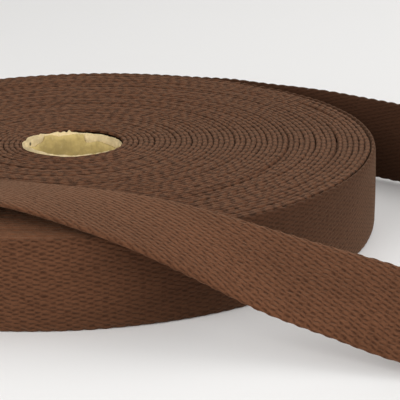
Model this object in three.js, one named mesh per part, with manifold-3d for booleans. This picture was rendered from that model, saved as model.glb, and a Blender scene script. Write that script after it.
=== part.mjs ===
// A roll of plain cotton webbing wound flat on a card core, with its loose end
// lying out in a loop and folded back over the top of the roll.
// Millimetres, +Z up. The roll's own axis is at x = 0, y = 0 while it is modelled.
import * as THREE from "three";
import { mergeVertices } from "three/addons/utils/BufferGeometryUtils.js";
import Module from "manifold-3d";

// The webbing
const WEBBING_WIDTH = 30;
const WEBBING_THICKNESS = 1.9;
const TURN_PITCH = 1.95; // one turn of webbing with the air between two turns

// The roll
const ROLL_RADIUS = 109.7; // just past the place where the loose end leaves
const LEAVING_ANGLE = 53.85; // degrees from +X, where the outer turn stops
const ROLL_STEPS = 150;
const RIM_ROUNDING = 0.5;

// The card core
const CORE_INNER_RADIUS = 16.5;
const CORE_OUTER_RADIUS = 18.3;
const CORE_FOOT = 0.4;
const CORE_TOP = 30.5;
const TORN_DEPTH = 0.35;
const CORE_STEPS = 48;

const PIECE_GAP = 0.3;

// The wider gaps between turns that show in the roll's top, as rings of a V section
const TURN_GAPS = [
  { radius: 49, width: 0.7, depth: 0.6 },
  { radius: 78, width: 1.1, depth: 1.0 },
  { radius: 92, width: 0.8, depth: 0.8 },
  { radius: 107.6, width: 0.9, depth: 1.0 },
];
const RING_STEPS = 96;

// The loose end's centre line from the roll to its cut end. lean is the angle in
// degrees that the webbing's upper edge tips to the right of its way, from upright.
const LOOSE_END = [
  { x: 65.85, y: 89.35, z: 15.3, lean: 0 },
  { x: 77.4, y: 81.0, z: 15.4, lean: -2 },
  { x: 88.5, y: 72.9, z: 15.7, lean: -11 },
  { x: 99.8, y: 64.6, z: 15.7, lean: -15 },
  { x: 121.6, y: 47.0, z: 15.1, lean: -16 },
  { x: 142.5, y: 28.2, z: 15.0, lean: -13 },
  { x: 160.0, y: 12.6, z: 15.1, lean: -10 },
  { x: 181.3, y: -5.6, z: 15.2, lean: -6 },
  { x: 202.3, y: -24.3, z: 15.3, lean: -3 },
  { x: 218.4, y: -41.3, z: 15.4, lean: -1 },
  { x: 233.7, y: -64.8, z: 15.4, lean: 0 },
  { x: 241.8, y: -91.6, z: 15.4, lean: 0 },
  { x: 240.7, y: -114.9, z: 15.4, lean: 1 },
  { x: 228.9, y: -140.1, z: 15.4, lean: 2 },
  { x: 211.4, y: -155.4, z: 15.3, lean: 4 },
  { x: 184.9, y: -164.2, z: 15.3, lean: 8 },
  { x: 156.9, y: -162.6, z: 15.1, lean: 17 },
  { x: 134.7, y: -155.4, z: 14.4, lean: 32 },
  { x: 109.4, y: -143.1, z: 14.2, lean: 50 },
  { x: 90.2, y: -133.3, z: 17.7, lean: 56 },
  { x: 70.8, y: -124.0, z: 21.7, lean: 61 },
  { x: 51.5, y: -115.3, z: 27.2, lean: 69 },
  { x: 32.2, y: -106.5, z: 32.2, lean: 78 },
  { x: 12.7, y: -97.0, z: 35.1, lean: 86 },
  { x: -6.9, y: -87.4, z: 36.5, lean: 93 },
  { x: -26.5, y: -77.7, z: 36.0, lean: 95 },
  { x: -44.0, y: -69.2, z: 34.4, lean: 93 },
  { x: -60.0, y: -61.5, z: 32.4, lean: 90 },
  { x: -73.0, y: -55.3, z: 31.5, lean: 90 },
];
const STEPS_PER_ROW = 4;
const SELVEDGE_ROUNDING = 0.5;

const FULL_TURN = 2 * Math.PI;
const radians = THREE.MathUtils.degToRad;

const wasm = await Module();
wasm.setup();

// Leaves only merged positions, so that neighbouring triangles share their corners.
function weld(geometry) {
  geometry.deleteAttribute("normal");
  geometry.deleteAttribute("uv");
  return mergeVertices(geometry, 1e-4);
}

function toSolid(geometry) {
  const welded = weld(geometry);
  return new wasm.Manifold(new wasm.Mesh({
    numProp: 3,
    vertProperties: new Float32Array(welded.attributes.position.array),
    triVerts: new Uint32Array(welded.index.array),
  }));
}

function fromSolid(solid) {
  const mesh = solid.getMesh();
  const geometry = new THREE.BufferGeometry();
  geometry.setAttribute("position", new THREE.BufferAttribute(mesh.vertProperties, 3));
  geometry.setIndex(new THREE.BufferAttribute(mesh.triVerts, 1));
  return geometry;
}

function polar(radius, angle) {
  return new THREE.Vector2(radius * Math.cos(angle), radius * Math.sin(angle));
}

// A closed profile of [radius, height] pairs turned about the Z axis.
function turned(profile, steps) {
  const points = [...profile, profile[0]].map(([r, z]) => new THREE.Vector2(r, z));
  return new THREE.LatheGeometry(points, steps).rotateX(Math.PI / 2);
}

// The wound turns as one block: the outline grows by one turn over a full circle
// and steps back where the outer turn leaves it.
function woundWebbing() {
  const outline = [];
  for (let i = 0; i <= ROLL_STEPS; i++) {
    const share = i / ROLL_STEPS;
    outline.push(polar(
      ROLL_RADIUS + TURN_PITCH * share,
      radians(LEAVING_ANGLE) - FULL_TURN * share,
    ));
  }
  const shape = new THREE.Shape(outline.reverse());
  const hole = [];
  for (let i = 0; i < CORE_STEPS; i++) {
    hole.push(polar(CORE_OUTER_RADIUS + PIECE_GAP, -FULL_TURN * i / CORE_STEPS));
  }
  shape.holes.push(new THREE.Path(hole));
  const block = new THREE.ExtrudeGeometry(shape, {
    depth: WEBBING_WIDTH - 2 * RIM_ROUNDING,
    bevelEnabled: true,
    bevelSize: RIM_ROUNDING,
    bevelOffset: -RIM_ROUNDING,
    bevelThickness: RIM_ROUNDING,
    bevelSegments: 2,
  }).translate(0, 0, RIM_ROUNDING);
  let solid = toSolid(block);
  for (const { radius, width, depth } of TURN_GAPS) {
    const ring = turned([
      [radius, WEBBING_WIDTH - depth],
      [radius + width / 2, WEBBING_WIDTH],
      [radius + width / 2, WEBBING_WIDTH + depth],
      [radius - width / 2, WEBBING_WIDTH + depth],
      [radius - width / 2, WEBBING_WIDTH],
    ], RING_STEPS);
    solid = solid.subtract(toSolid(ring));
  }
  return fromSolid(solid);
}

// How far the core's torn rim stands above or below its mean height at an angle.
function tornHeight(angle) {
  return TORN_DEPTH * (0.6 * Math.sin(3 * angle + 0.4)
    + 0.5 * Math.sin(7 * angle + 1.9) + 0.4 * Math.sin(13 * angle));
}

function coreTube() {
  const tube = weld(turned([
    [CORE_INNER_RADIUS, CORE_FOOT],
    [CORE_OUTER_RADIUS, CORE_FOOT],
    [CORE_OUTER_RADIUS, CORE_TOP],
    [CORE_INNER_RADIUS, CORE_TOP],
  ], CORE_STEPS));
  const position = tube.attributes.position;
  for (let i = 0; i < position.count; i++) {
    if (position.getZ(i) > CORE_FOOT + 1) {
      const angle = Math.atan2(position.getY(i), position.getX(i));
      position.setZ(i, CORE_TOP + tornHeight(angle));
    }
  }
  return tube;
}

// The loose end: one flat section carried along its centre line and leant at each step.
function looseEnd() {
  const line = new THREE.CatmullRomCurve3(
    LOOSE_END.map(({ x, y, z }) => new THREE.Vector3(x, y, z)), false, "catmullrom");
  const leans = new THREE.CatmullRomCurve3(
    LOOSE_END.map(({ lean }) => new THREE.Vector3(lean, 0, 0)), false, "catmullrom");
  const halfWidth = WEBBING_WIDTH / 2;
  const halfThickness = WEBBING_THICKNESS / 2;
  const rounded = halfWidth - SELVEDGE_ROUNDING;
  const flat = halfThickness - SELVEDGE_ROUNDING;
  const section = [
    [halfWidth, -flat], [halfWidth, flat], [rounded, halfThickness],
    [-rounded, halfThickness], [-halfWidth, flat], [-halfWidth, -flat],
    [-rounded, -halfThickness], [rounded, -halfThickness],
  ];
  const up = new THREE.Vector3(0, 0, 1);
  const steps = (LOOSE_END.length - 1) * STEPS_PER_ROW;
  const corners = [];
  for (let i = 0; i <= steps; i++) {
    const centre = line.getPoint(i / steps);
    const way = line.getTangent(i / steps);
    const right = new THREE.Vector3().crossVectors(way, up).normalize();
    const upright = new THREE.Vector3().crossVectors(right, way);
    const lean = radians(leans.getPoint(i / steps).x);
    const across = upright.multiplyScalar(Math.cos(lean))
      .addScaledVector(right, Math.sin(lean));
    const face = new THREE.Vector3().crossVectors(way, across);
    for (const [w, t] of section) {
      corners.push(...centre.clone().addScaledVector(across, w)
        .addScaledVector(face, t).toArray());
    }
  }
  const n = section.length;
  const triangles = [];
  for (let i = 0; i < steps; i++) {
    for (let j = 0; j < n; j++) {
      const a = i * n + j;
      const b = i * n + (j + 1) % n;
      triangles.push(a, b, b + n, a, b + n, a + n);
    }
  }
  for (let j = 1; j < n - 1; j++) {
    triangles.push(0, j + 1, j);
    const last = steps * n;
    triangles.push(last, last + j, last + j + 1);
  }
  const geometry = new THREE.BufferGeometry();
  geometry.setAttribute("position", new THREE.Float32BufferAttribute(corners, 3));
  geometry.setIndex(triangles);
  return geometry;
}

function piece(name, geometry, color, roughness) {
  const material = new THREE.MeshStandardMaterial({ color, roughness, metalness: 0 });
  const mesh = new THREE.Mesh(geometry, material);
  mesh.name = name;
  return mesh;
}

const roll = new THREE.Group();
roll.add(
  piece("core_tube", coreTube(), "#cdb98c", 0.9),
  piece("wound_webbing", woundWebbing(), "#5f4333", 0.95),
  piece("loose_end", looseEnd(), "#6b4a38", 0.95),
);

// The origin is under the middle of the whole object, on the surface it lies on.
const bounds = new THREE.Box3().setFromObject(roll);
const middle = bounds.getCenter(new THREE.Vector3());
roll.position.set(-middle.x, -middle.y, -bounds.min.z);

export default roll;
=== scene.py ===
import math

import bpy
import numpy as np
from mathutils import Matrix, Vector


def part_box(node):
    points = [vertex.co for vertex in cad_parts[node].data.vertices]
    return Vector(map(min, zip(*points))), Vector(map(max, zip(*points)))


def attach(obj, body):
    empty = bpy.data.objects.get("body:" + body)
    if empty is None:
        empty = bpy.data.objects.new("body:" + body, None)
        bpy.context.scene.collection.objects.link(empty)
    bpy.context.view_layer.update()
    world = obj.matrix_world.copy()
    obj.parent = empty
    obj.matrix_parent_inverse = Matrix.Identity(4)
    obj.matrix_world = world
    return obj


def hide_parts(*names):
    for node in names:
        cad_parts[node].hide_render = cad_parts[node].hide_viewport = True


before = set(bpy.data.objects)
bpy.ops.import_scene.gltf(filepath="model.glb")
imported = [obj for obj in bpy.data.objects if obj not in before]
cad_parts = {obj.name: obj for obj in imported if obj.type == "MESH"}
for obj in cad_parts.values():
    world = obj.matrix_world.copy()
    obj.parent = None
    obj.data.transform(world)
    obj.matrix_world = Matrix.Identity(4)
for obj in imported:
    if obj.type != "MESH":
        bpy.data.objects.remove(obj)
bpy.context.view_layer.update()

bl_info = {
    "name": "Roll of Cotton Webbing",
    "version": (1, 0, 0),
    "blender": (4, 5, 0),
    "location": "3D View > Sidebar > Webbing Roll",
    "description": "Dresses a roll of plain cotton webbing on a card core, with its loose end",
    "category": "Add Mesh",
}

MM = 0.001
BODY = "root"
FLOOR_CLEARANCE = 0.05  # millimetres
CORE_LOW, CORE_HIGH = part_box("core_tube")
ROLL_AXIS = Vector(((CORE_LOW.x + CORE_HIGH.x) / 2, (CORE_LOW.y + CORE_HIGH.y) / 2, 0.0))

# The loose end's centre line from the roll to its cut end: x, y and z in millimetres from
# the roll's axis, and the degrees by which the upper edge tips to the right of its way.
LOOSE_END = (
    (65.85, 89.35, 15.8, 0), (77.4, 81.0, 15.9, -2), (88.5, 72.9, 15.9, -10),
    (99.8, 64.6, 15.8, -15), (121.6, 47.0, 15.2, -16), (142.5, 28.2, 15.0, -13),
    (160.0, 12.6, 15.1, -10), (181.3, -5.6, 15.2, -6), (202.3, -24.3, 15.3, -3),
    (218.4, -41.3, 15.4, -1), (233.7, -64.8, 15.4, 0), (241.8, -91.6, 15.4, 0),
    (240.7, -114.9, 15.4, 1), (228.9, -140.1, 15.4, 2), (211.4, -155.4, 15.3, 4),
    (184.9, -164.2, 15.3, 8), (156.9, -162.6, 15.1, 17), (134.7, -155.4, 14.4, 32),
    (109.4, -143.1, 14.2, 49), (90.2, -133.3, 17.6, 54.5), (70.8, -124.0, 21.6, 59.5),
    (51.5, -115.3, 27.2, 69), (32.2, -106.5, 32.2, 78), (12.7, -97.0, 35.1, 86),
    (-6.9, -87.4, 36.5, 93), (-26.5, -77.7, 36.0, 95), (-44.0, -69.2, 34.4, 93),
    (-60.0, -61.5, 32.4, 90), (-73.0, -55.3, 31.5, 90),
)

# Half the webbing's section: how far in from the selvedge, and how far out from the
# middle of its thickness, as a share of half the thickness.
SELVEDGE = ((2.4, 1.0), (1.3, 0.9), (0.55, 0.66), (0.15, 0.34), (0.0, 0.0))
FACE_COLUMNS = 19
SPLINE_STEPS = 60  # points between two rows of the loose end's line

# The upper edge of one wound turn: its place across the turn, from -0.5 to 0.5 of the
# pitch, and how far it lies below the crest in millimetres. TURN_FOOT is the same for the
# lower edge, measured upwards.
TURN_CREST = ((-0.5, 0.7), (-0.475, 0.16), (-0.4, 0.08), (-0.24, 0.03), (0.0, 0.0),
              (0.24, 0.03), (0.4, 0.08), (0.475, 0.16), (0.5, 0.7))
TURN_FOOT = ((-0.5, 1.6), (-0.3, 0.3), (0.0, 0.0), (0.3, 0.3), (0.5, 1.6))
CREST_ROOM = 0.15  # how far the wound turns stay inside the webbing's width, in millimetres
DIP_DEPTH = 7.0  # how steeply the sides of a turn dip between two loops
CORE_GAP = 0.05  # millimetres between the core and the innermost turn

# Where two turns stand off a little, so that a wider dark gap shows between them: the
# radius in millimetres, the widening of each turn's side, the angle in degrees where it
# is widest and the degrees to either side over which it closes.
OPEN_GAPS = ((79.3, 0.2, -30, 48), (96.7, 0.1, -10, 18), (64.0, 0.3, 62, 3),
             (68.5, 0.22, 72, 3), (103.6, 0.12, 200, 40), (90.8, 0.14, 130, 36),
             (60.5, 0.1, 255, 30), (101.5, 0.1, 25, 10))
OPEN_GAP_DEPTH = 0.6  # millimetres

# The slack turns bulge out at the front: the angle in degrees where they stand out most,
# how far in millimetres, and the radii in millimetres from which and to which it grows.
BULGE_ANGLE = -103
BULGE_SIZE = 1.9
BULGE_RADII = (60, 110)

# The roll's wall near the place where the loose end leaves: the length in millimetres over
# which it lifts off, and how far it stands out and up there.
LEAVING_REACH = 30.0
LEAVING_OUT = 0.32
LEAVING_UP = 0.8
JOIN_GAP = 0.3  # least millimetres from the wall's last row to the loose end's first

# Where the wall stands out or in, and where it leans outwards or inwards: the amount, in
# millimetres or as a slope, the angle in degrees where it is greatest and the degrees to
# either side.
WALL_SLACKS = ((0.42, 0, 45), (-0.3, -35, 75))
WALL_LEANS = ((0.010, -35, 75), (-0.028, -105, 50))

# The core's inner ply, torn down from the rim: the angle round the core in degrees and
# the depth in millimetres.
TORN_PLY = ((-180, 2.5), (-165, 1.7), (-150, 0.9), (-130, 0.5), (-110, 0.3), (-60, 0.3),
            (-20, 0.4), (2, 0.9), (14, 2.2), (24, 3.0), (38, 3.4), (52, 2.9), (62, 2.7),
            (72, 3.6), (77.5, 3.7), (80, 0.4), (92, 0.5), (102, 1.0), (112, 1.4),
            (121, 0.6), (131, 0.7), (134, 2.6), (141, 3.2), (150, 3.9), (160, 3.4),
            (170, 3.0), (180, 2.5))

# Small curls that stand up from the rims of the core's middle and outer plies: the angle
# and the spread in degrees, and the height in millimetres, below 0 for a dip.
RIM_CURLS = ((97.5, 2.6, 0.75), (104, 3.5, 0.35), (112, 3.0, 0.25), (-96, 9.0, 0.2),
             (-45, 38.0, 0.45), (-60, 3.0, -0.3), (-138, 30.0, 0.5), (168, 8.0, -0.3))
CORE_FOOT = 0.4  # millimetres from the floor to the plies' lower ends

# Stretches of the webbing painted darker and flatter, as painted shade: on the wall's right
# side, and on either side of the place where the loose end leaves. For each, the two places
# between which the tone changes, in picks from the place where the loose end leaves, and
# the tone before and after.
LOOSE_PAINTED_SHADES = ((45.0, 115.0, 0.45, 1.0),)
WALL_PAINTED_SHADES = ((-214.0, -178.0, 0.6, 1.0), (-75.0, -4.0, 1.0, 0.495))

# Painted light: the turns' edges are painted paler round this place, in front of the loose
# end's near edge, in millimetres from the roll's axis. It dies away between the two
# distances, in metres.
PAINTED_LIGHT_PLACE = (-12.0, -108.0, 30.0)
PAINTED_LIGHT_REACH = (0.016, 0.036)

# A small spot of painted shade that stands for a hole in the core's torn card, in
# millimetres from the roll's axis, and the distances in metres between which it ends.
PAINTED_HOLE_SHADE = (-16.0, 6.3, 27.9)
PAINTED_HOLE_SHADE_REACH = (0.0004, 0.0009)

# The soft round lamps: how wide each is in metres, then each one's name, its place in
# metres and its power in watts.
LAMP_SIZE = 1.5
LAMPS = (("front_left_soft", (-1.041, -1.041, 0.85), 23.3),
         ("front_right_soft", (1.041, -1.041, 0.85), 15.6),
         ("right_soft", (1.472, 0.0, 0.85), 10.6),
         ("rear_right_low", (1.041, 1.041, 0.85), 4.2),
         ("rear_right_high", (0.601, 0.601, 1.472), 7.0),
         ("rear_soft", (0.0, 1.472, 0.85), 3.4))
ROOM_LIGHT = (1.0, 0.99, 0.98, 1.0)
ROOM_STRENGTH = 0.1
FLOOR_REACH = 4.0  # metres from the middle to each side

# The camera that took the photo, as fitted to the roll's rims: its place in metres from
# the roll's axis, the degrees that it looks down and rolls, and its focal length as a
# share of the picture's width.
CAMERA_PLACE = (0.04617, -0.60391, 0.19463)
CAMERA_DOWN = 17.26
CAMERA_ROLL = -1.09
CAMERA_FOCAL = 4.285
SENSOR_WIDTH = 36.0  # millimetres


class WebbingSizes(bpy.types.PropertyGroup):
    """Sizes of the webbing and of the roll."""
    width: bpy.props.FloatProperty(
        name="Webbing width", description="Width across the webbing",
        default=0.030, unit="LENGTH", subtype="DISTANCE")
    thickness: bpy.props.FloatProperty(
        name="Webbing thickness", description="Thickness of the webbing",
        default=0.0019, unit="LENGTH", subtype="DISTANCE")
    turn_pitch: bpy.props.FloatProperty(
        name="Turn pitch", description="How far each wound turn lies from the next",
        default=0.00195, unit="LENGTH", subtype="DISTANCE")
    roll_radius: bpy.props.FloatProperty(
        name="Roll radius", description="Radius just past the place where the loose end leaves",
        default=0.1097, unit="LENGTH", subtype="DISTANCE")
    leaving_angle: bpy.props.FloatProperty(
        name="Leaving angle", description="Where the outer turn leaves the roll",
        default=math.radians(53.85), unit="ROTATION", subtype="ANGLE")
    pick_pitch: bpy.props.FloatProperty(
        name="Pick pitch", description="Distance between two weft yarns",
        default=0.00226, unit="LENGTH", subtype="DISTANCE")
    end_pitch: bpy.props.FloatProperty(
        name="End pitch", description="Distance between two warp floats in one column",
        default=0.0015, unit="LENGTH", subtype="DISTANCE")
    selvedge_bump: bpy.props.FloatProperty(
        name="Selvedge bump", description="Height of the loops along the edges",
        default=0.0002, unit="LENGTH", subtype="DISTANCE")
    core_inner_radius: bpy.props.FloatProperty(
        name="Core inner radius", description="Radius of the hole through the card core",
        default=0.0165, unit="LENGTH", subtype="DISTANCE")
    core_outer_radius: bpy.props.FloatProperty(
        name="Core outer radius", description="Outer radius of the card core",
        default=0.0183, unit="LENGTH", subtype="DISTANCE")


class WebbingColours(bpy.types.PropertyGroup):
    """Colours of the cotton, the card and the stage."""
    cotton: bpy.props.FloatVectorProperty(
        name="Cotton", description="Colour of the raised yarns",
        default=(0.112, 0.046, 0.0225), size=3, subtype="COLOR", min=0, max=1)
    # Painted shade: the cotton's colour in the valleys between the yarns and in the gaps between
    # the wound turns.
    cotton_shade: bpy.props.FloatVectorProperty(
        name="Cotton in the gaps", description="Colour between the yarns",
        default=(0.036, 0.0125, 0.0055), size=3, subtype="COLOR", min=0, max=1)
    card: bpy.props.FloatVectorProperty(
        name="Card wall", description="Colour of the core's inner paper",
        default=(0.52, 0.395, 0.155), size=3, subtype="COLOR", min=0, max=1)
    card_torn: bpy.props.FloatVectorProperty(
        name="Torn card", description="Colour of the card's torn plies",
        default=(0.7, 0.555, 0.31), size=3, subtype="COLOR", min=0, max=1)
    card_pale: bpy.props.FloatVectorProperty(
        name="Torn card fibres", description="Colour of the fibres that stand out of torn card",
        default=(0.8, 0.67, 0.46), size=3, subtype="COLOR", min=0, max=1)
    floor: bpy.props.FloatVectorProperty(
        name="Floor", description="Colour of the pale floor",
        default=(0.815, 0.805, 0.793), size=3, subtype="COLOR", min=0, max=1)


def smooth_noise(length, wavelength, seed):
    """A seeded curve between -1 and 1 whose humps are about a wavelength long."""
    start = float(np.min(length))
    knots = int((float(np.max(length)) - start) / wavelength) + 4
    values = np.random.default_rng(seed).uniform(-1, 1, knots + 1)
    place = (length - start) / wavelength
    first = np.clip(place.astype(int), 0, knots - 1)
    share = place - first
    share = share * share * (3 - 2 * share)
    return values[first] * (1 - share) + values[first + 1] * share


def smooth_step(value, low, high):
    """0 below the low value and 1 above the high one, with a soft rise between them."""
    share = np.clip((value - low) / (high - low), 0, 1)
    return share * share * (3 - 2 * share)


def grid_faces(rows, columns, closed=False):
    """Quads between neighbouring rows of points."""
    across = np.arange(columns if closed else columns - 1)[None, :]
    down = np.arange(rows - 1)[:, None] * columns
    a = (down + across).ravel()
    b = (down + (across + 1) % columns).ravel()
    return np.stack([a, b, b + columns, a + columns], axis=1)


def make_piece(name, points, faces, uv, material, replaced, caps=()):
    """A smooth mesh made from points in millimetres about the roll's axis."""
    mesh = bpy.data.meshes.new(name)
    mesh.from_pydata((points * MM).tolist(), [], faces.tolist() + [list(c) for c in caps])
    mesh.transform(Matrix.Translation(ROLL_AXIS))
    weave = mesh.uv_layers.new(name="weave")
    corners = np.empty(len(mesh.loops), np.int32)
    mesh.loops.foreach_get("vertex_index", corners)
    weave.data.foreach_set("uv", uv[corners].astype(np.float32).ravel())
    smooth = np.arange(len(mesh.polygons)) < len(faces)
    mesh.polygons.foreach_set("use_smooth", smooth)
    mesh.materials.append(material)
    piece = bpy.data.objects.new(name, mesh)
    bpy.context.scene.collection.objects.link(piece)
    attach(piece, BODY)
    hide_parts(replaced)
    return piece


class Shader:
    """One material's nodes, with short ways to add them."""

    def __init__(self, name, roughness, sheen=0.0, specular=0.3):
        self.material = bpy.data.materials.new(name)
        self.material.use_nodes = True
        self.tree = self.material.node_tree
        self.surface = self.tree.nodes["Principled BSDF"]
        self.surface.inputs["Roughness"].default_value = roughness
        self.surface.inputs["Specular IOR Level"].default_value = specular
        self.surface.inputs["Sheen Weight"].default_value = sheen
        self.surface.inputs["Sheen Roughness"].default_value = 0.5
        self.surface.inputs["Sheen Tint"].default_value = (0.85, 0.54, 0.34, 1.0)

    def put(self, socket, value):
        """Links an output to a socket, or sets the socket to a number or a colour."""
        if isinstance(value, bpy.types.NodeSocket):
            self.tree.links.new(value, socket)
        elif hasattr(value, "__len__") and len(socket.default_value) == 4:
            socket.default_value = (*tuple(value)[:3], 1.0)
        else:
            socket.default_value = value

    def maths(self, operation, *values):
        node = self.tree.nodes.new("ShaderNodeMath")
        node.operation = operation
        for socket, value in zip(node.inputs, values):
            self.put(socket, value)
        return node.outputs[0]

    def weave_map(self):
        """The place along and across the webbing, in picks and in warp floats."""
        node = self.tree.nodes.new("ShaderNodeUVMap")
        node.uv_map = "weave"
        return node.outputs[0]

    def place(self):
        return self.tree.nodes.new("ShaderNodeTexCoord").outputs["Object"]

    def distance(self, vector, point):
        node = self.tree.nodes.new("ShaderNodeVectorMath")
        node.operation = "DISTANCE"
        self.put(node.inputs[0], vector)
        node.inputs[1].default_value = point
        return node.outputs["Value"]

    def parts(self, vector):
        node = self.tree.nodes.new("ShaderNodeSeparateXYZ")
        self.put(node.inputs[0], vector)
        return node.outputs[0], node.outputs[1], node.outputs[2]

    def joined(self, x, y, z=0.0):
        node = self.tree.nodes.new("ShaderNodeCombineXYZ")
        for socket, value in zip(node.inputs, (x, y, z)):
            self.put(socket, value)
        return node.outputs[0]

    def stretched(self, vector, scale):
        node = self.tree.nodes.new("ShaderNodeMapping")
        self.put(node.inputs["Vector"], vector)
        node.inputs["Scale"].default_value = scale
        return node.outputs[0]

    def noise(self, vector, scale, detail=2.0, roughness=0.5):
        node = self.tree.nodes.new("ShaderNodeTexNoise")
        self.put(node.inputs["Vector"], vector)
        node.inputs["Scale"].default_value = scale
        node.inputs["Detail"].default_value = detail
        node.inputs["Roughness"].default_value = roughness
        return node.outputs["Fac"]

    def spread(self, value, low, high, start=0.0, end=1.0):
        """A soft change from start to end while the value goes from low to high."""
        node = self.tree.nodes.new("ShaderNodeMapRange")
        node.interpolation_type = "SMOOTHSTEP"
        for socket, number in zip(node.inputs, (value, low, high, start, end)):
            self.put(socket, number)
        return node.outputs[0]

    def mix(self, share, first, second, blend="MIX"):
        node = self.tree.nodes.new("ShaderNodeMix")
        node.data_type = "RGBA"
        node.blend_type = blend
        self.put(node.inputs[0], share)
        self.put(node.inputs[6], first)
        self.put(node.inputs[7], second)
        return node.outputs[2]

    def shifted(self, value, noise, reach):
        """A value pushed to and fro by a noise around its middle."""
        return self.maths("MULTIPLY_ADD", self.maths("SUBTRACT", noise, 0.5), reach, value)

    def total(self, *terms):
        """The sum of values, each times its own share."""
        result = 0.0
        for value, share in terms:
            result = self.maths("MULTIPLY_ADD", value, share, result)
        return result

    def blend(self, share, first, second):
        """A number that goes from the first value to the second."""
        return self.maths("MULTIPLY_ADD", self.maths("SUBTRACT", second, first), share, first)

    def clouded(self, colour, place, scale, low, high):
        """A colour made darker and lighter in large soft patches."""
        cloud = self.spread(self.noise(self.stretched(place, scale), 1.0, 2.0), 0.3, 0.7,
                            low, high)
        return self.mix(1.0, colour, self.joined(cloud, cloud, cloud), "MULTIPLY")

    def finish(self, colour, height, depth):
        """Sets the colour and the bump, and gives back the material."""
        self.put(self.surface.inputs["Base Color"], colour)
        bump = self.tree.nodes.new("ShaderNodeBump")
        bump.inputs["Distance"].default_value = depth
        self.put(bump.inputs["Height"], height)
        self.put(self.surface.inputs["Normal"], bump.outputs[0])
        return self.material


def tinted(colour, amount):
    """A colour made lighter or darker."""
    return tuple(min(1.0, c * amount) for c in colour)


def woven_cotton(name, colours, brightness, slant, sheen, painted_shades):
    """Plain weave seen on its face: rounded warp floats in staggered columns, with painted
    shade in the valleys between the floats and a painted highlight on their tops. Each painted
    shade along the webbing goes from one tone to another between two places along the
    webbing in picks, and the weave is flatter where the tone is darker."""
    s = Shader(name, 0.95, sheen=sheen, specular=0.1)
    weave = s.weave_map()
    x, y, _ = s.parts(weave)
    loops = s.maths("COSINE", s.maths("MULTIPLY", x, math.pi))
    edge = s.spread(s.maths("ABSOLUTE", y), 9.7, 10.4, 0.0, 0.6)
    x = s.shifted(x, s.noise(weave, 0.6, 1.0), 0.9)
    y = s.shifted(y, s.noise(s.stretched(weave, (1.0, 1.6, 1.0)), 0.9, 1.0), 0.95)
    within = s.maths("SUBTRACT", x, s.maths("ROUND", x))
    y = s.maths("MULTIPLY_ADD", within, -slant, y)
    column = s.spread(s.maths("COSINE", s.maths("MULTIPLY", x, math.pi)), -0.8, 0.8, -1.0, 1.0)
    row = s.maths("COSINE", s.maths("MULTIPLY", y, 2 * math.pi))
    lattice = s.maths("MULTIPLY_ADD", s.maths("MULTIPLY", column, row), 0.5, 0.5)
    floats = s.maths("POWER", lattice, 0.5)
    uneven = s.noise(s.stretched(weave, (1.0, 1.7, 1.0)), 0.95, 1.0)
    fibres = s.noise(s.stretched(s.joined(x, y), (2.2, 9.0, 1.0)), 1.6, 3.0, 0.6)
    height = s.total((floats, 0.75), (uneven, 0.45), (fibres, 0.12))
    bound = s.total((loops, 0.22), (uneven, 0.3), (fibres, 0.12), (0.4, 1.0))
    height = s.blend(edge, height, bound)
    # Painted shade: the tone runs from the light cotton on the floats' tops to the shaded cotton in
    # the valleys between them, with some random unevenness.
    tone = s.total((s.spread(floats, 0.0, 0.95), 0.75), (s.spread(uneven, 0.35, 0.65), 0.3))
    tone = s.blend(edge, tone, s.total((loops, 0.12), (uneven, 0.6), (0.1, 1.0)))
    light = tinted(colours.cotton, brightness)
    shade = tinted(colours.cotton_shade, brightness)
    colour = s.mix(tone, shade, light)
    colour = s.mix(s.spread(fibres, 0.45, 0.8, 0.0, 0.3), colour, tinted(light, 1.3))
    # Painted highlight on the floats' tops.
    colour = s.mix(s.spread(lattice, 0.7, 1.0, 0.0, 0.3), colour, tinted(light, 1.2))
    colour = s.clouded(colour, weave, (0.05, 0.09, 1.0), 0.91, 1.08)
    # Painted shade: each stretch is darkened and flattened towards its darker tone.
    for painted_shade in painted_shades:
        painted_shade_tone = s.spread(s.parts(weave)[0], *painted_shade)
        colour = s.mix(s.total((painted_shade_tone, -0.9), (0.9, 1.0)), colour, s.mix(0.6, shade, light))
        colour = s.mix(1.0, colour, s.joined(painted_shade_tone, painted_shade_tone, painted_shade_tone), "MULTIPLY")
        height = s.maths("MULTIPLY", height, painted_shade_tone)
    return s.finish(colour, height, 0.0005)


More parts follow.
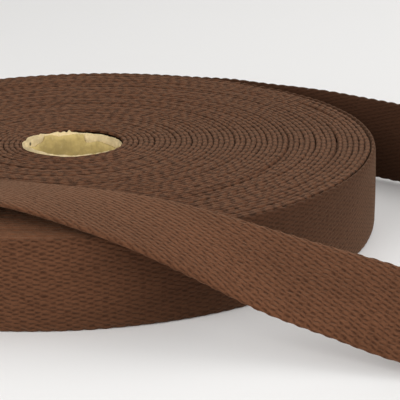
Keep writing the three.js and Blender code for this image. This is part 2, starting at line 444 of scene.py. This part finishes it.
def turn_edges(name, colours, brightness):
    """The wound turns' selvedges: a loop of weft at every second pick, with painted shade in
    the hollows between the loops and in the gaps between the turns, darker in some stretches
    than in others."""
    s = Shader(name, 0.95, sheen=0.16, specular=0.1)
    weave = s.weave_map()
    x, y, _ = s.parts(weave)
    x = s.shifted(x, s.noise(weave, 0.45, 1.0), 1.4)
    loops = s.spread(s.maths("COSINE", s.maths("MULTIPLY", x, math.pi)), -1.0, 0.8)
    # Painted shade in the gaps between the turns, weaker at the loops and in some stretches.
    gap = s.spread(s.maths("ABSOLUTE", y), 0.18, 0.42)
    gap = s.maths("MULTIPLY", gap, s.total((loops, -0.95), (1.0, 1.0)))
    patchy = s.noise(s.stretched(weave, (0.5, 0.0, 1.0)), 1.0, 1.0)
    gap = s.maths("MULTIPLY", gap, s.spread(patchy, 0.38, 0.6, 0.35, 1.0))
    uneven = s.noise(s.stretched(weave, (1.3, 2.6, 1.0)), 1.1, 2.0, 0.6)
    fibres = s.noise(s.stretched(weave, (5.0, 6.0, 1.0)), 1.2, 3.0, 0.65)
    height = s.total((loops, 0.3), (uneven, 0.55), (fibres, 0.3), (gap, -0.4))
    # Painted shade: darker in the hollows between the loops.
    tone = s.total((loops, 0.6), (s.spread(uneven, 0.35, 0.65), 0.75),
                   (s.spread(fibres, 0.4, 0.65), 0.35), (-0.35, 1.0))
    light = tinted(colours.cotton, brightness)
    shade = tinted(colours.cotton_shade, brightness)
    colour = s.mix(tone, shade, light)
    colour = s.mix(gap, colour, tinted(shade, 0.5))
    # Painted light on the turns' edges in front of the loose end's near edge.
    painted_light = s.spread(s.distance(s.place(), ROLL_AXIS + Vector(PAINTED_LIGHT_PLACE) * MM),
                      *PAINTED_LIGHT_REACH, 0.7, 0.0)
    colour = s.mix(painted_light, colour, tinted(light, 1.4))
    return s.finish(s.clouded(colour, weave, (0.03, 1.0, 1.0), 0.88, 1.1), height, 0.0005)


def card_paper(name, colour, pale, depth):
    """Soft yellow-brown board with short paler fibres, and one small spot of painted shade
    that stands for a hole.
    """
    s = Shader(name, 0.88, specular=0.2)
    place = s.place()
    fibres = s.noise(s.stretched(place, (1.0, 1.0, 0.8)), 850.0, 4.0, 0.65)
    clouds = s.noise(place, 260.0, 3.0, 0.6)
    base = s.mix(s.spread(clouds, 0.35, 0.68), tinted(colour, 0.8), tinted(colour, 1.05))
    base = s.mix(s.spread(fibres, 0.52, 0.8, 0.0, 0.4), base, pale)
    # Painted shade: a small dark spot where a hole in the card would be.
    hole = s.spread(s.distance(place, ROLL_AXIS + Vector(PAINTED_HOLE_SHADE) * MM),
                    *PAINTED_HOLE_SHADE_REACH)
    base = s.mix(hole, tinted(colour, 0.15), base)
    return s.finish(base, fibres, depth)


def pale_floor(name, colour):
    """Matt pale paper with a fine grain and faint large patches."""
    s = Shader(name, 0.75, specular=0.25)
    grain = s.noise(s.place(), 700.0, 2.0)
    clouds = s.noise(s.place(), 2.0, 1.0)
    base = s.mix(s.spread(clouds, 0.3, 0.7), tinted(colour, 0.985), tinted(colour, 1.01))
    return s.finish(base, grain, 0.00003)


def selvedge_loops(length, sizes, phase, seed):
    """How far the weft loops push an edge out, along the webbing, in millimetres."""
    pick = sizes.pick_pitch / MM
    bump = sizes.selvedge_bump / MM
    turns = length * math.pi / pick + phase
    wear = 1 + 0.4 * smooth_noise(length, 9.0, seed)
    return bump * (wear * (0.85 * np.cos(turns) - 0.15 * np.cos(2 * turns)) - 0.2) \
        + 0.05 * smooth_noise(length, 14.0, seed + 1)


def section_columns(sizes):
    """Round the webbing's section: across, through the thickness, nearness to an edge, and
    the place across as measured along the surface."""
    half_width = sizes.width / MM / 2
    half_thick = sizes.thickness / MM / 2
    flat = half_width - SELVEDGE[0][0]
    columns = [(w, half_thick, 0.0, w) for w in np.linspace(-flat, flat, FACE_COLUMNS)]
    rim = []
    w, t, along = flat, half_thick, flat
    for inward, share in SELVEDGE[1:]:
        along += math.hypot(half_width - inward - w, half_thick * share - t)
        w, t = half_width - inward, half_thick * share
        rim.append((w, t, 1 - inward / SELVEDGE[0][0], along))
    rim += [(w, -t, loop, along) for w, t, loop, along in rim[-2::-1]]
    columns += rim
    return columns + [(-w, -t, loop, -along) for w, t, loop, along in columns]


def strip_rows(centre, across, length, sizes):
    """Points and weave places of a length of webbing, a row for each point of its line."""
    way = np.gradient(centre, axis=0)
    way /= np.linalg.norm(way, axis=1)[:, None]
    face = np.cross(way, across)
    upper = selvedge_loops(length, sizes, 0.0, 21)
    lower = selvedge_loops(length, sizes, math.pi, 33)
    ripple = 0.16 * smooth_noise(length, 37.0, 5) + 0.09 * smooth_noise(length, 13.0, 6)
    points, weave = [], []
    for w, t, loop, along in section_columns(sizes):
        pushed = w + loop * (upper if w > 0 else -lower)
        lifted = t * (1 - 0.06 * loop) + ripple * math.cos(2 * w * MM / sizes.width * 2.2)
        points.append(centre + across * pushed[:, None] + face * lifted[:, None])
        weave.append(np.stack([length / (sizes.pick_pitch / MM),
                               np.full_like(length, along / (sizes.end_pitch / MM))], axis=1))
    return np.stack(points, axis=1), np.stack(weave, axis=1)


def strip_piece(name, points, weave, material, replaced):
    """A closed strip of webbing made from rows of points."""
    rows, count = points.shape[:2]
    faces = grid_faces(rows, count, closed=True)[:, ::-1]
    caps = (range(count), range(rows * count - 1, (rows - 1) * count - 1, -1))
    return make_piece(name, points.reshape(-1, 3), faces, weave.reshape(-1, 2), material,
                      replaced, caps)


def spiral_radius(turned, sizes):
    """The middle of the webbing's thickness, after so many radians inwards."""
    pitch = sizes.turn_pitch / MM
    return sizes.roll_radius / MM + pitch / 2 - pitch * turned / (2 * math.pi)


def spiral_turned(length, sizes):
    """The angle turned inwards from the roll's outer end at a length of webbing."""
    start = spiral_radius(0.0, sizes)
    slope = sizes.turn_pitch / MM / (4 * math.pi)
    return (start - np.sqrt(start * start - 4 * slope * length)) / (2 * slope)


def spiral_length(turned, sizes):
    """The length of webbing from the roll's outer end, after so many radians inwards."""
    start = spiral_radius(0.0, sizes)
    return start * turned - sizes.turn_pitch / MM / (4 * math.pi) * turned * turned


def gap_share(turned, sizes, angle, reach):
    """1 where a wide gap is widest, falling to 0 where it closes."""
    place = math.degrees(sizes.leaving_angle) + np.degrees(turned)
    off = np.abs((place - angle + 180) % 360 - 180)
    return np.clip(1 - off / reach, 0, 1) ** 0.5


def bulge(angle, radius):
    """How far the slack turns stand out at the front of the roll, in millimetres."""
    front = np.cos(angle - math.radians(BULGE_ANGLE))
    low, high = BULGE_RADII
    growth = np.clip((radius - low) / (high - low), 0, 1)
    return BULGE_SIZE * np.clip(front, 0, 1) ** 1.5 * growth ** 2


def turn_band(name, first, last, step, profile, sizes, material, upper):
    """The crests of the wound turns between two lengths, above or under the roll."""
    pitch = sizes.turn_pitch / MM
    pick = sizes.pick_pitch / MM
    length = np.linspace(first, last, int((last - first) / step))
    turned = spiral_turned(length, sizes)
    angle = sizes.leaving_angle + turned
    turn = np.floor(turned / (2 * math.pi))
    outer = spiral_radius(turned, sizes) + pitch / 2
    inner = np.maximum(outer - pitch, sizes.core_outer_radius / MM + CORE_GAP)
    wobble = 0.13 * smooth_noise(length, 17.0, 3) + 0.12 * smooth_noise(length, 5.0, 4)
    middle = (outer + inner) / 2 + wobble * smooth_step(inner, 19.0, 26.0)
    middle = middle + bulge(angle, middle)
    drift = length / pick + 0.6 * smooth_noise(length, 9.0, 9)
    loops = np.cos(math.pi * drift)
    crest = 0.16 * smooth_noise(length, 210.0, 7) + 0.13 * smooth_noise(length, 19.0, 8) \
        + 0.12 * smooth_noise(length, 6.0, 10) + 0.05 * loops
    points, weave = [], []
    for share, drop in profile:
        radius = middle + share * (outer - inner)
        fall = drop - crest * (1 - abs(share)) - CREST_ROOM \
            + DIP_DEPTH * (1 - loops) * share ** 4
        for gap_radius, width, at, reach in OPEN_GAPS:
            before = (math.radians(at) - sizes.leaving_angle) % (2 * math.pi) / (2 * math.pi)
            edge = round((sizes.roll_radius / MM - gap_radius) / pitch - before)
            side = np.where(turn == edge, -1.0, np.where(turn == edge + 1, 1.0, 0.0))
            near = np.clip((side * share - 0.1) / 0.38, 0, 1) \
                * gap_share(turned, sizes, at, reach)
            radius = radius - side * near * width
            fall = fall + near * OPEN_GAP_DEPTH
        if abs(share) == 0.5:
            radius = middle + share * (outer - inner)
            fall = np.full_like(radius, drop)
        height = sizes.width / MM - CREST_ROOM - fall if upper \
            else np.maximum(fall + CREST_ROOM, FLOOR_CLEARANCE)
        points.append(np.stack([radius * np.cos(angle), radius * np.sin(angle), height], 1))
        weave.append(np.stack([drift, np.full_like(length, share)], axis=1))
    points = np.stack(points, axis=1)
    faces = grid_faces(points.shape[0], points.shape[1])
    if upper:
        faces = faces[:, ::-1]
    return make_piece(name, points.reshape(-1, 3), faces, np.stack(weave, axis=1).reshape(-1, 2),
                      material, "wound_webbing")


def outer_line(sizes):
    """The middle of the last full turn, which is the roll's wall, up to where it leaves."""
    full = spiral_length(2 * math.pi, sizes)
    length = np.arange(full, JOIN_GAP, -sizes.pick_pitch / MM / 2)
    turned = spiral_turned(length, sizes)
    angle = sizes.leaving_angle + turned
    leaving = 1 - smooth_step(length, 0.0, LEAVING_REACH)
    slack = sum(size * gap_share(turned, sizes, at, reach) for size, at, reach in WALL_SLACKS)
    radius = spiral_radius(turned, sizes) + LEAVING_OUT * leaving + slack \
        + 0.12 * (1 - leaving) * smooth_noise(length, 60.0, 11)
    radius = radius + bulge(angle, radius)
    height = sizes.width / MM / 2 + LEAVING_UP * leaving \
        + 0.16 * (1 - leaving) * smooth_noise(length, 75.0, 12)
    centre = np.stack([radius * np.cos(angle), radius * np.sin(angle), height], axis=1)
    lean = 0.006 * smooth_noise(length, 90.0, 13)
    for size, at, reach in WALL_LEANS:
        lean = lean + size * gap_share(turned, sizes, at, reach)
    lean = (1 - leaving) * lean
    outward = np.stack([np.cos(angle), np.sin(angle), np.zeros_like(angle)], axis=1)
    across = outward * lean[:, None] + np.array([[0.0, 0.0, 1.0]])
    across /= np.linalg.norm(across, axis=1)[:, None]
    return centre, across, -length


def through_rows(rows, step):
    """A smooth line through the rows, with a point for every step of its length."""
    rows = np.array(rows, float)
    rows = np.vstack([2 * rows[0] - rows[1], rows, 2 * rows[-1] - rows[-2]])
    line = []
    for a, b, c, d in zip(rows, rows[1:], rows[2:], rows[3:]):
        t = np.linspace(0, 1, SPLINE_STEPS, endpoint=False)[:, None]
        line.append(0.5 * (2 * b + (c - a) * t + (2 * a - 5 * b + 4 * c - d) * t ** 2
                           + (3 * b - a - 3 * c + d) * t ** 3))
    line = np.vstack(line + [rows[-2:-1]])
    along = np.concatenate([[0], np.cumsum(np.linalg.norm(np.diff(line[:, :3], axis=0), axis=1))])
    length = np.linspace(0.0, along[-1], int(along[-1] / step) + 1)
    return np.stack([np.interp(length, along, line[:, k]) for k in range(line.shape[1])], 1), length


def loose_line(sizes):
    """The middle of the loose end, out from the roll and back over its top."""
    rows, length = through_rows(LOOSE_END, sizes.pick_pitch / MM / 2)
    centre, lean = rows[:, :3], np.radians(rows[:, 3])[:, None]
    way = np.gradient(centre, axis=0)
    way /= np.linalg.norm(way, axis=1)[:, None]
    right = np.cross(way, [0.0, 0.0, 1.0])
    right /= np.linalg.norm(right, axis=1)[:, None]
    across = np.cross(right, way) * np.cos(lean) + right * np.sin(lean)
    return centre, across, length


def outer_webbing(sizes):
    """Rows of the last turn and the loose end in one, and the row where the end leaves."""
    wall, loose = outer_line(sizes), loose_line(sizes)
    joined = [np.concatenate(pair) for pair in zip(wall, loose)]
    points, weave = strip_rows(*joined, sizes)
    points[..., 2] = np.maximum(points[..., 2], FLOOR_CLEARANCE)
    return (points, weave), len(wall[0])


def torn_ring(name, inner, outer, rim, material, seed):
    """One ply of the card core: a thin tube whose rim is given for each degree."""
    angle = np.radians(np.arange(-180, 180))
    ragged = 0.6 * np.random.default_rng(seed).uniform(-1, 1, 360)
    curl = 0.1 * (ragged + np.roll(ragged, 1))
    section = ((outer, 0.0), (outer, 0.5), (outer, 0.94), (outer - 0.1, 1.0),
               (inner + 0.1, 1.0), (inner, 0.94), (inner, 0.5), (inner, 0.0))
    points, weave = [], []
    for radius, share in section:
        r = radius + (curl if share > 0.9 else 0.0)
        z = CORE_FOOT + (rim - CORE_FOOT) * share
        points.append(np.stack([r * np.cos(angle), r * np.sin(angle), z], axis=1))
        weave.append(np.stack([angle * radius, z], axis=1))
    count = len(angle)
    order = np.arange(count)
    following = (order + 1) % count
    faces = []
    for k in range(len(section)):
        here, there = k * count, (k + 1) % len(section) * count
        faces.append(np.stack([here + order, here + following, there + following,
                               there + order], axis=1))
    return make_piece(name, np.concatenate(points), np.vstack(faces), np.concatenate(weave),
                      material, "core_tube")


def rough_rim(top, size, seed):
    """A rim's height for each degree, with small seeded tears."""
    length = np.arange(361) * 17.5 * math.pi / 180
    rough = sum(smooth_noise(length, wave, seed + k) * share for k, (wave, share)
                in enumerate(((11.0, 0.5), (3.0, 0.4), (1.0, 0.35), (0.4, 0.25))))
    rough = rough - (rough[-1] - rough[0]) * np.arange(361) / 360
    return top + size * rough[:-1]


def sizes_and_colours():
    """The two groups of properties, which the panel shows."""
    scene = bpy.context.scene
    return scene.webbing_sizes, scene.webbing_colours


class WEBBING_OT_card_core(bpy.types.Operator):
    """Makes the card core from its glued plies"""
    bl_idname = "webbing.card_core"
    bl_label = "Card core"

    def execute(self, context):
        sizes, colours = sizes_and_colours()
        inner, outer = sizes.core_inner_radius / MM, sizes.core_outer_radius / MM
        smooth = card_paper("card_inner_paper", colours.card, colours.card_torn, 0.00012)
        torn = card_paper("card_torn_paper", colours.card_torn, colours.card_pale, 0.0004)
        degrees = np.arange(-180, 180)
        depth = np.interp(degrees, *zip(*TORN_PLY))
        curls = sum(height * smooth_step(1 - np.abs(degrees - at) / spread, 0.0, 0.8)
                    for at, spread, height in RIM_CURLS)
        around = np.radians(degrees)
        cut = -0.75 * np.cos(around) - 0.55 * np.sin(around)
        torn_ring("core_inner_ply", inner, inner + 0.7,
                  rough_rim(29.4, 0.45, 41) + cut - depth, smooth, 1)
        torn_ring("core_middle_ply", inner + 0.72, inner + 1.2,
                  rough_rim(29.3, 0.55, 52) + cut + 0.5 * curls, torn, 2)
        torn_ring("core_outer_ply", inner + 1.22, outer,
                  rough_rim(29.5, 0.32, 63) + cut + curls, torn, 3)
        return {"FINISHED"}


class WEBBING_OT_wound_turns(bpy.types.Operator):
    """Winds the webbing turn by turn round the core"""
    bl_idname = "webbing.wound_turns"
    bl_label = "Wound turns"

    def execute(self, context):
        sizes, colours = sizes_and_colours()
        edges = turn_edges("turn_edge_cotton", colours, 1.05)
        face = woven_cotton("wall_cotton", colours, 1.0, 0.12, 0.18, WALL_PAINTED_SHADES)
        deep = (sizes.roll_radius - sizes.core_outer_radius) / sizes.turn_pitch + 0.7
        start = spiral_length(2 * math.pi, sizes)
        end = spiral_length(2 * math.pi * deep, sizes)
        half = start + (end - start) * 0.5
        step = sizes.pick_pitch / MM / 2
        turn_band("turns_outer", start, half, step, TURN_CREST, sizes, edges, True)
        turn_band("turns_inner", half, end, step, TURN_CREST, sizes, edges, True)
        turn_band("turns_under", start, end, step * 3, TURN_FOOT, sizes, edges, False)
        (points, weave), leaves = outer_webbing(sizes)
        strip_piece("outer_turn", points[:leaves + 1], weave[:leaves + 1], face,
                    "wound_webbing")
        return {"FINISHED"}


class WEBBING_OT_loose_end(bpy.types.Operator):
    """Lays out the webbing's loose end"""
    bl_idname = "webbing.loose_end"
    bl_label = "Loose end"

    def execute(self, context):
        sizes, colours = sizes_and_colours()
        (points, weave), leaves = outer_webbing(sizes)
        cotton = woven_cotton("loose_cotton", colours, 1.1, 0.42, 0.18, LOOSE_PAINTED_SHADES)
        piece = strip_piece("loose_webbing", points[leaves:], weave[leaves:], cotton,
                            "loose_end")
        float(loose_line(sizes)[2][-1]) * MM
        return {"FINISHED"}


def area_light(name, place, watts):
    """A soft round lamp that points at the roll."""
    data = bpy.data.lights.new(name, "AREA")
    data.shape = "DISK"
    data.size = LAMP_SIZE
    data.energy = watts
    lamp = bpy.data.objects.new(name, data)
    lamp.location = place
    lamp.rotation_euler = (-Vector(place)).to_track_quat("-Z", "Y").to_euler()
    bpy.context.scene.collection.objects.link(lamp)


class WEBBING_OT_stage(bpy.types.Operator):
    """Sets the floor, the lights and the camera"""
    bl_idname = "webbing.stage"
    bl_label = "Stage"

    def execute(self, context):
        scene = context.scene
        _, colours = sizes_and_colours()
        mesh = bpy.data.meshes.new("pale_floor")
        corners = [(x * FLOOR_REACH, y * FLOOR_REACH, 0)
                   for x, y in ((-1, -1), (1, -1), (1, 1), (-1, 1))]
        mesh.from_pydata(corners, [], [(0, 1, 2, 3)])
        mesh.materials.append(pale_floor("floor_paper", colours.floor))
        floor = bpy.data.objects.new("pale_floor", mesh)
        scene.collection.objects.link(floor)

        world = bpy.data.worlds.new("soft_room")
        world.use_nodes = True
        sky = world.node_tree.nodes["Background"]
        sky.inputs["Color"].default_value = ROOM_LIGHT
        sky.inputs["Strength"].default_value = ROOM_STRENGTH
        scene.world = world
        scene.view_settings.view_transform = "Standard"
        for name, place, watts in LAMPS:
            area_light(name, place, watts)

        data = bpy.data.cameras.new("photo_camera")
        data.sensor_width = SENSOR_WIDTH
        data.lens = SENSOR_WIDTH * CAMERA_FOCAL
        data.clip_start = 0.01
        camera = bpy.data.objects.new("photo_camera", data)
        place = Vector(CAMERA_PLACE) + ROLL_AXIS
        down, roll = math.radians(CAMERA_DOWN), math.radians(CAMERA_ROLL)
        camera.matrix_world = Matrix.Translation(place) \
            @ Matrix.Rotation(math.pi / 2 - down, 4, "X") @ Matrix.Rotation(roll, 4, "Z")
        scene.collection.objects.link(camera)
        scene.camera = camera
        return {"FINISHED"}


class WEBBING_PT_panel(bpy.types.Panel):
    """Lists the pieces of the webbing roll"""
    bl_label = "Webbing Roll"
    bl_idname = "WEBBING_PT_panel"
    bl_space_type = "VIEW_3D"
    bl_region_type = "UI"
    bl_category = "Webbing Roll"

    def draw(self, context):
        for operator in OPERATORS:
            self.layout.operator(operator.bl_idname)
        for group in (context.scene.webbing_sizes, context.scene.webbing_colours):
            for name in group.__annotations__:
                self.layout.prop(group, name)


OPERATORS = (WEBBING_OT_card_core, WEBBING_OT_wound_turns, WEBBING_OT_loose_end,
             WEBBING_OT_stage)
CLASSES = (WebbingSizes, WebbingColours) + OPERATORS + (WEBBING_PT_panel,)


def register():
    for cls in CLASSES:
        bpy.utils.register_class(cls)
    bpy.types.Scene.webbing_sizes = bpy.props.PointerProperty(type=WebbingSizes)
    bpy.types.Scene.webbing_colours = bpy.props.PointerProperty(type=WebbingColours)


def unregister():
    del bpy.types.Scene.webbing_colours
    del bpy.types.Scene.webbing_sizes
    for cls in reversed(CLASSES):
        bpy.utils.unregister_class(cls)


def main():
    register()
    bpy.ops.webbing.card_core()
    bpy.ops.webbing.wound_turns()
    bpy.ops.webbing.loose_end()
    bpy.ops.webbing.stage()


if __name__ == "__main__":
    main()
